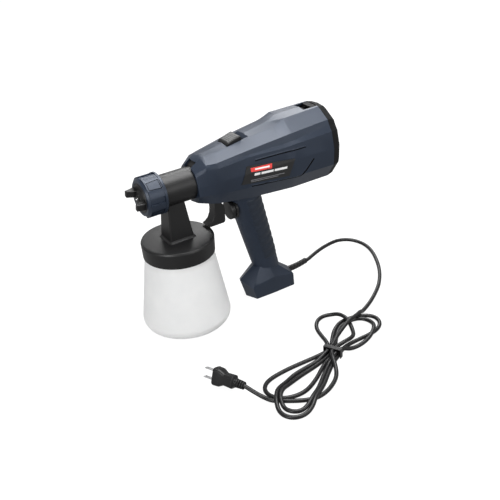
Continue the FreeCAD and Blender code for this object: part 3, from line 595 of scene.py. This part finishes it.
def circle(middle, side, rise, radius):
    """Points in metres round a middle in metres, at a radius in mm."""
    turns = [2 * math.pi * spot / SIDES for spot in range(SIDES)]
    return [middle + (side * math.cos(turn) + rise * math.sin(turn)) * radius * MM for turn in turns]


BOOT_X = -186.0         # where the boot starts to taper, mm
BOOT_Z = 18.0
BOOT_R = 5.0
BOOT_BEND = 0.0037      # sideways, for each mm of run squared


def boot_sleeve():
    """The cord's rubber boot, bent a little towards the cord, with shallow rings and a rounded lip."""
    stations = []
    for ring in range(5):
        for step, drop in ((0.0, 0.0), (3.6, 0.0), (4.0, 0.35), (5.4, 0.35), (5.8, 0.0)):
            run = 6.4 * ring + step + 2.0
            stations.append((run, BOOT_R - 0.012 * run - drop))
    stations += [(34.6, 4.6), (37.4, 4.6), (38.0, 4.35), (38.3, 3.9)]
    path = [(mm(-174.0, 0, BOOT_Z), BOOT_R), (mm(BOOT_X, 0, BOOT_Z), BOOT_R)]
    path += [(mm(BOOT_X - run, -BOOT_BEND * run * run, BOOT_Z), radius) for run, radius in stations]
    verts = []
    for index, (place, radius) in enumerate(path):
        along = (path[min(index + 1, len(path) - 1)][0] - path[max(index - 1, 0)][0]).normalized()
        side = along.cross(UP).normalized()
        verts += circle(place, side, side.cross(along), radius)
    faces = [tuple(range(SIDES)), tuple(range(len(verts) - 1, len(verts) - SIDES - 1, -1))]
    piece = mesh_piece("cord_boot_sleeve", verts, faces + band_faces(len(path), SIDES), "gun", RUBBER)
    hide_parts("cord_boot")
    return piece


sleeve = boot_sleeve()


def plug_rings():
    """Soft rings round the plug's tail, growing towards the plug."""
    tail = mm(27.0, 210.6, 13.8)
    along = Vector((0.40, -0.9165, 0.0))
    side = Vector((0.9165, 0.40, 0.0))
    profile = ((-1.1, -1.6), (-1.1, -0.5), (-0.7, 0.0), (0.7, 0.0), (1.1, -0.5), (1.1, -1.6))
    faces = band_faces(len(profile), SIDES, closed=True)
    pieces = []
    for index, letter in enumerate(LETTERS):
        middle = tail + along * (0.8 + 3.6 * index) * MM
        verts = []
        for forward, lift in profile:
            verts += circle(middle + along * forward * MM, side, UP, 5.6 + 0.25 * index + lift)
        pieces.append(mesh_piece("plug_ring_" + letter, verts, faces, "gun", RUBBER))
    return pieces


rings = plug_rings()


# ---------------------------------------------------------------- fillet round the neck's foot

NECK_FRONT = 18.4       # the neck's foot, mm
NECK_REAR = -20.4
NECK_HALF = 16.9


def neck_fillet():
    """Moulded fillet where the square neck stands on the cup's lid."""
    profile = ((-0.6, 146.0), (0.15, 145.6), (0.7, 144.3), (1.5, 143.4), (2.7, 142.9), (2.7, 141.6), (-0.6, 141.6))
    verts = []
    for reach, z in profile:
        corner = 2.0 + max(reach, 0.0)
        front = NECK_FRONT + reach - corner
        rear = NECK_REAR - reach + corner
        half = NECK_HALF + reach - corner
        for x, y, start in ((front, half, 0), (rear, half, 90), (rear, -half, 180), (front, -half, 270)):
            for step in range(5):
                turn = math.radians(start + 22.5 * step)
                verts.append(mm(x + corner * math.cos(turn), y + corner * math.sin(turn), z))
    faces = band_faces(len(profile), len(verts) // len(profile), closed=True)
    return mesh_piece("neck_fillet", verts, faces, "front_unit", BLACK)


neck_fillet()


# ---------------------------------------------------------------- painted shade outlining the nut's grip panels

NUT_MIDDLE = mm(33.5, 0, 219.0)
NUT_FLAT = 29.2         # from the nut's axis to its flats, mm


def nut_panel_shades():
    """Thin dark outlines of painted shade on the nut's four flats, where the grooves round its grip panels are in
    shadow.
    """
    outline = ((-9.4, -7.4), (9.4, -6.0), (9.4, 6.0), (-9.4, 7.4))
    faces = []
    for edge in range(4):
        after = (edge + 1) % 4
        faces.append((edge, after, 4 + after, 4 + edge))
        faces.append((8 + edge, 12 + edge, 12 + after, 8 + after))
        faces.append((edge, 8 + edge, 8 + after, after))
        faces.append((4 + edge, 4 + after, 12 + after, 12 + edge))
    for index, letter in enumerate(LETTERS):
        turn = math.radians(90 * index + 49.0)
        outward = Vector((0, -math.sin(turn), math.cos(turn)))
        along = Vector((0, math.cos(turn), math.sin(turn)))
        verts = []
        for lift in (0.12, -0.5):
            for inset in (0.0, 0.7):
                for x, side in outline:
                    spot = Vector((x - math.copysign(inset, x), 0, 0)) + along * (side - math.copysign(inset, side))
                    verts.append(NUT_MIDDLE + (spot + outward * (NUT_FLAT + lift)) * MM)
        mesh_piece("nut_panel_shade_" + letter, verts, faces, "nozzle_nut", PAINTED_SHADE, smooth=False)


nut_panel_shades()


# ---------------------------------------------------------------- floor and light

def ring_sheet(name, profile, sides=64):
    """Sheet of revolution about Z from (radius, height) pairs in metres."""
    verts = []
    for radius, height in profile:
        for side in range(sides):
            turn = 2 * math.pi * side / sides
            verts.append((radius * math.cos(turn), radius * math.sin(turn), height))
    mesh = bpy.data.meshes.new(name)
    mesh.from_pydata(verts, [], band_faces(len(profile), sides))
    sheet = bpy.data.objects.new(name, mesh)
    bpy.context.collection.objects.link(sheet)
    return sheet


def make_stage():
    """White floor and a round backdrop, just under the object, in an even white world."""
    below = -0.0004
    floor = ring_sheet("floor", [(0.001, below), (2.0, below), (8.0, below)])
    wall = ring_sheet("backdrop", [(7.9, below), (9.5, 0.6), (10.5, 2.5), (11.0, 9.0)])
    material, _, shader = new_material("floor")
    shader.inputs["Base Color"].default_value = (0.12, 0.12, 0.12, 1)
    shader.inputs["Roughness"].default_value = 0.8
    shader.inputs["Specular IOR Level"].default_value = 0.1
    shader.inputs["Emission Color"].default_value = (1, 1, 1, 1)
    shader.inputs["Emission Strength"].default_value = 0.93
    for sheet in (floor, wall):
        dress(sheet, material)
        sheet.visible_diffuse = False
        sheet.visible_glossy = False
    wall.visible_shadow = False
    world = bpy.data.worlds.new("studio")
    world.use_nodes = True
    background = world.node_tree.nodes["Background"]
    background.inputs["Color"].default_value = (1, 1, 1, 1)
    background.inputs["Strength"].default_value = 0.55
    bpy.context.scene.world = world
    bpy.context.scene.view_settings.view_transform = "Standard"


def area_light(name, place, target, size, power):
    """Round soft light at a place, turned to a target, sizes in metres and power in watts."""
    data = bpy.data.lights.new(name, "AREA")
    data.shape = "DISK"
    data.size = size
    data.energy = power
    light = bpy.data.objects.new(name, data)
    bpy.context.collection.objects.link(light)
    light.location = place
    light.rotation_euler = (Vector(target) - Vector(place)).to_track_quat("-Z", "Y").to_euler()


make_stage()
area_light("overhead", (-0.40, 0.0, 1.75), (-0.12, 0.0, 0.2), 1.3, 46.0)
area_light("behind", (-1.0, -1.2, 1.35), (-0.12, 0.0, 0.2), 1.0, 20.0)
area_light("front", (1.5, 0.9, 0.7), (-0.05, 0.0, 0.2), 0.9, 20.0)
area_light("side", (-0.7, 1.9, 0.9), (-0.05, 0.0, 0.15), 1.1, 12.0)


# ---------------------------------------------------------------- finish

bpy.context.view_layer.update()
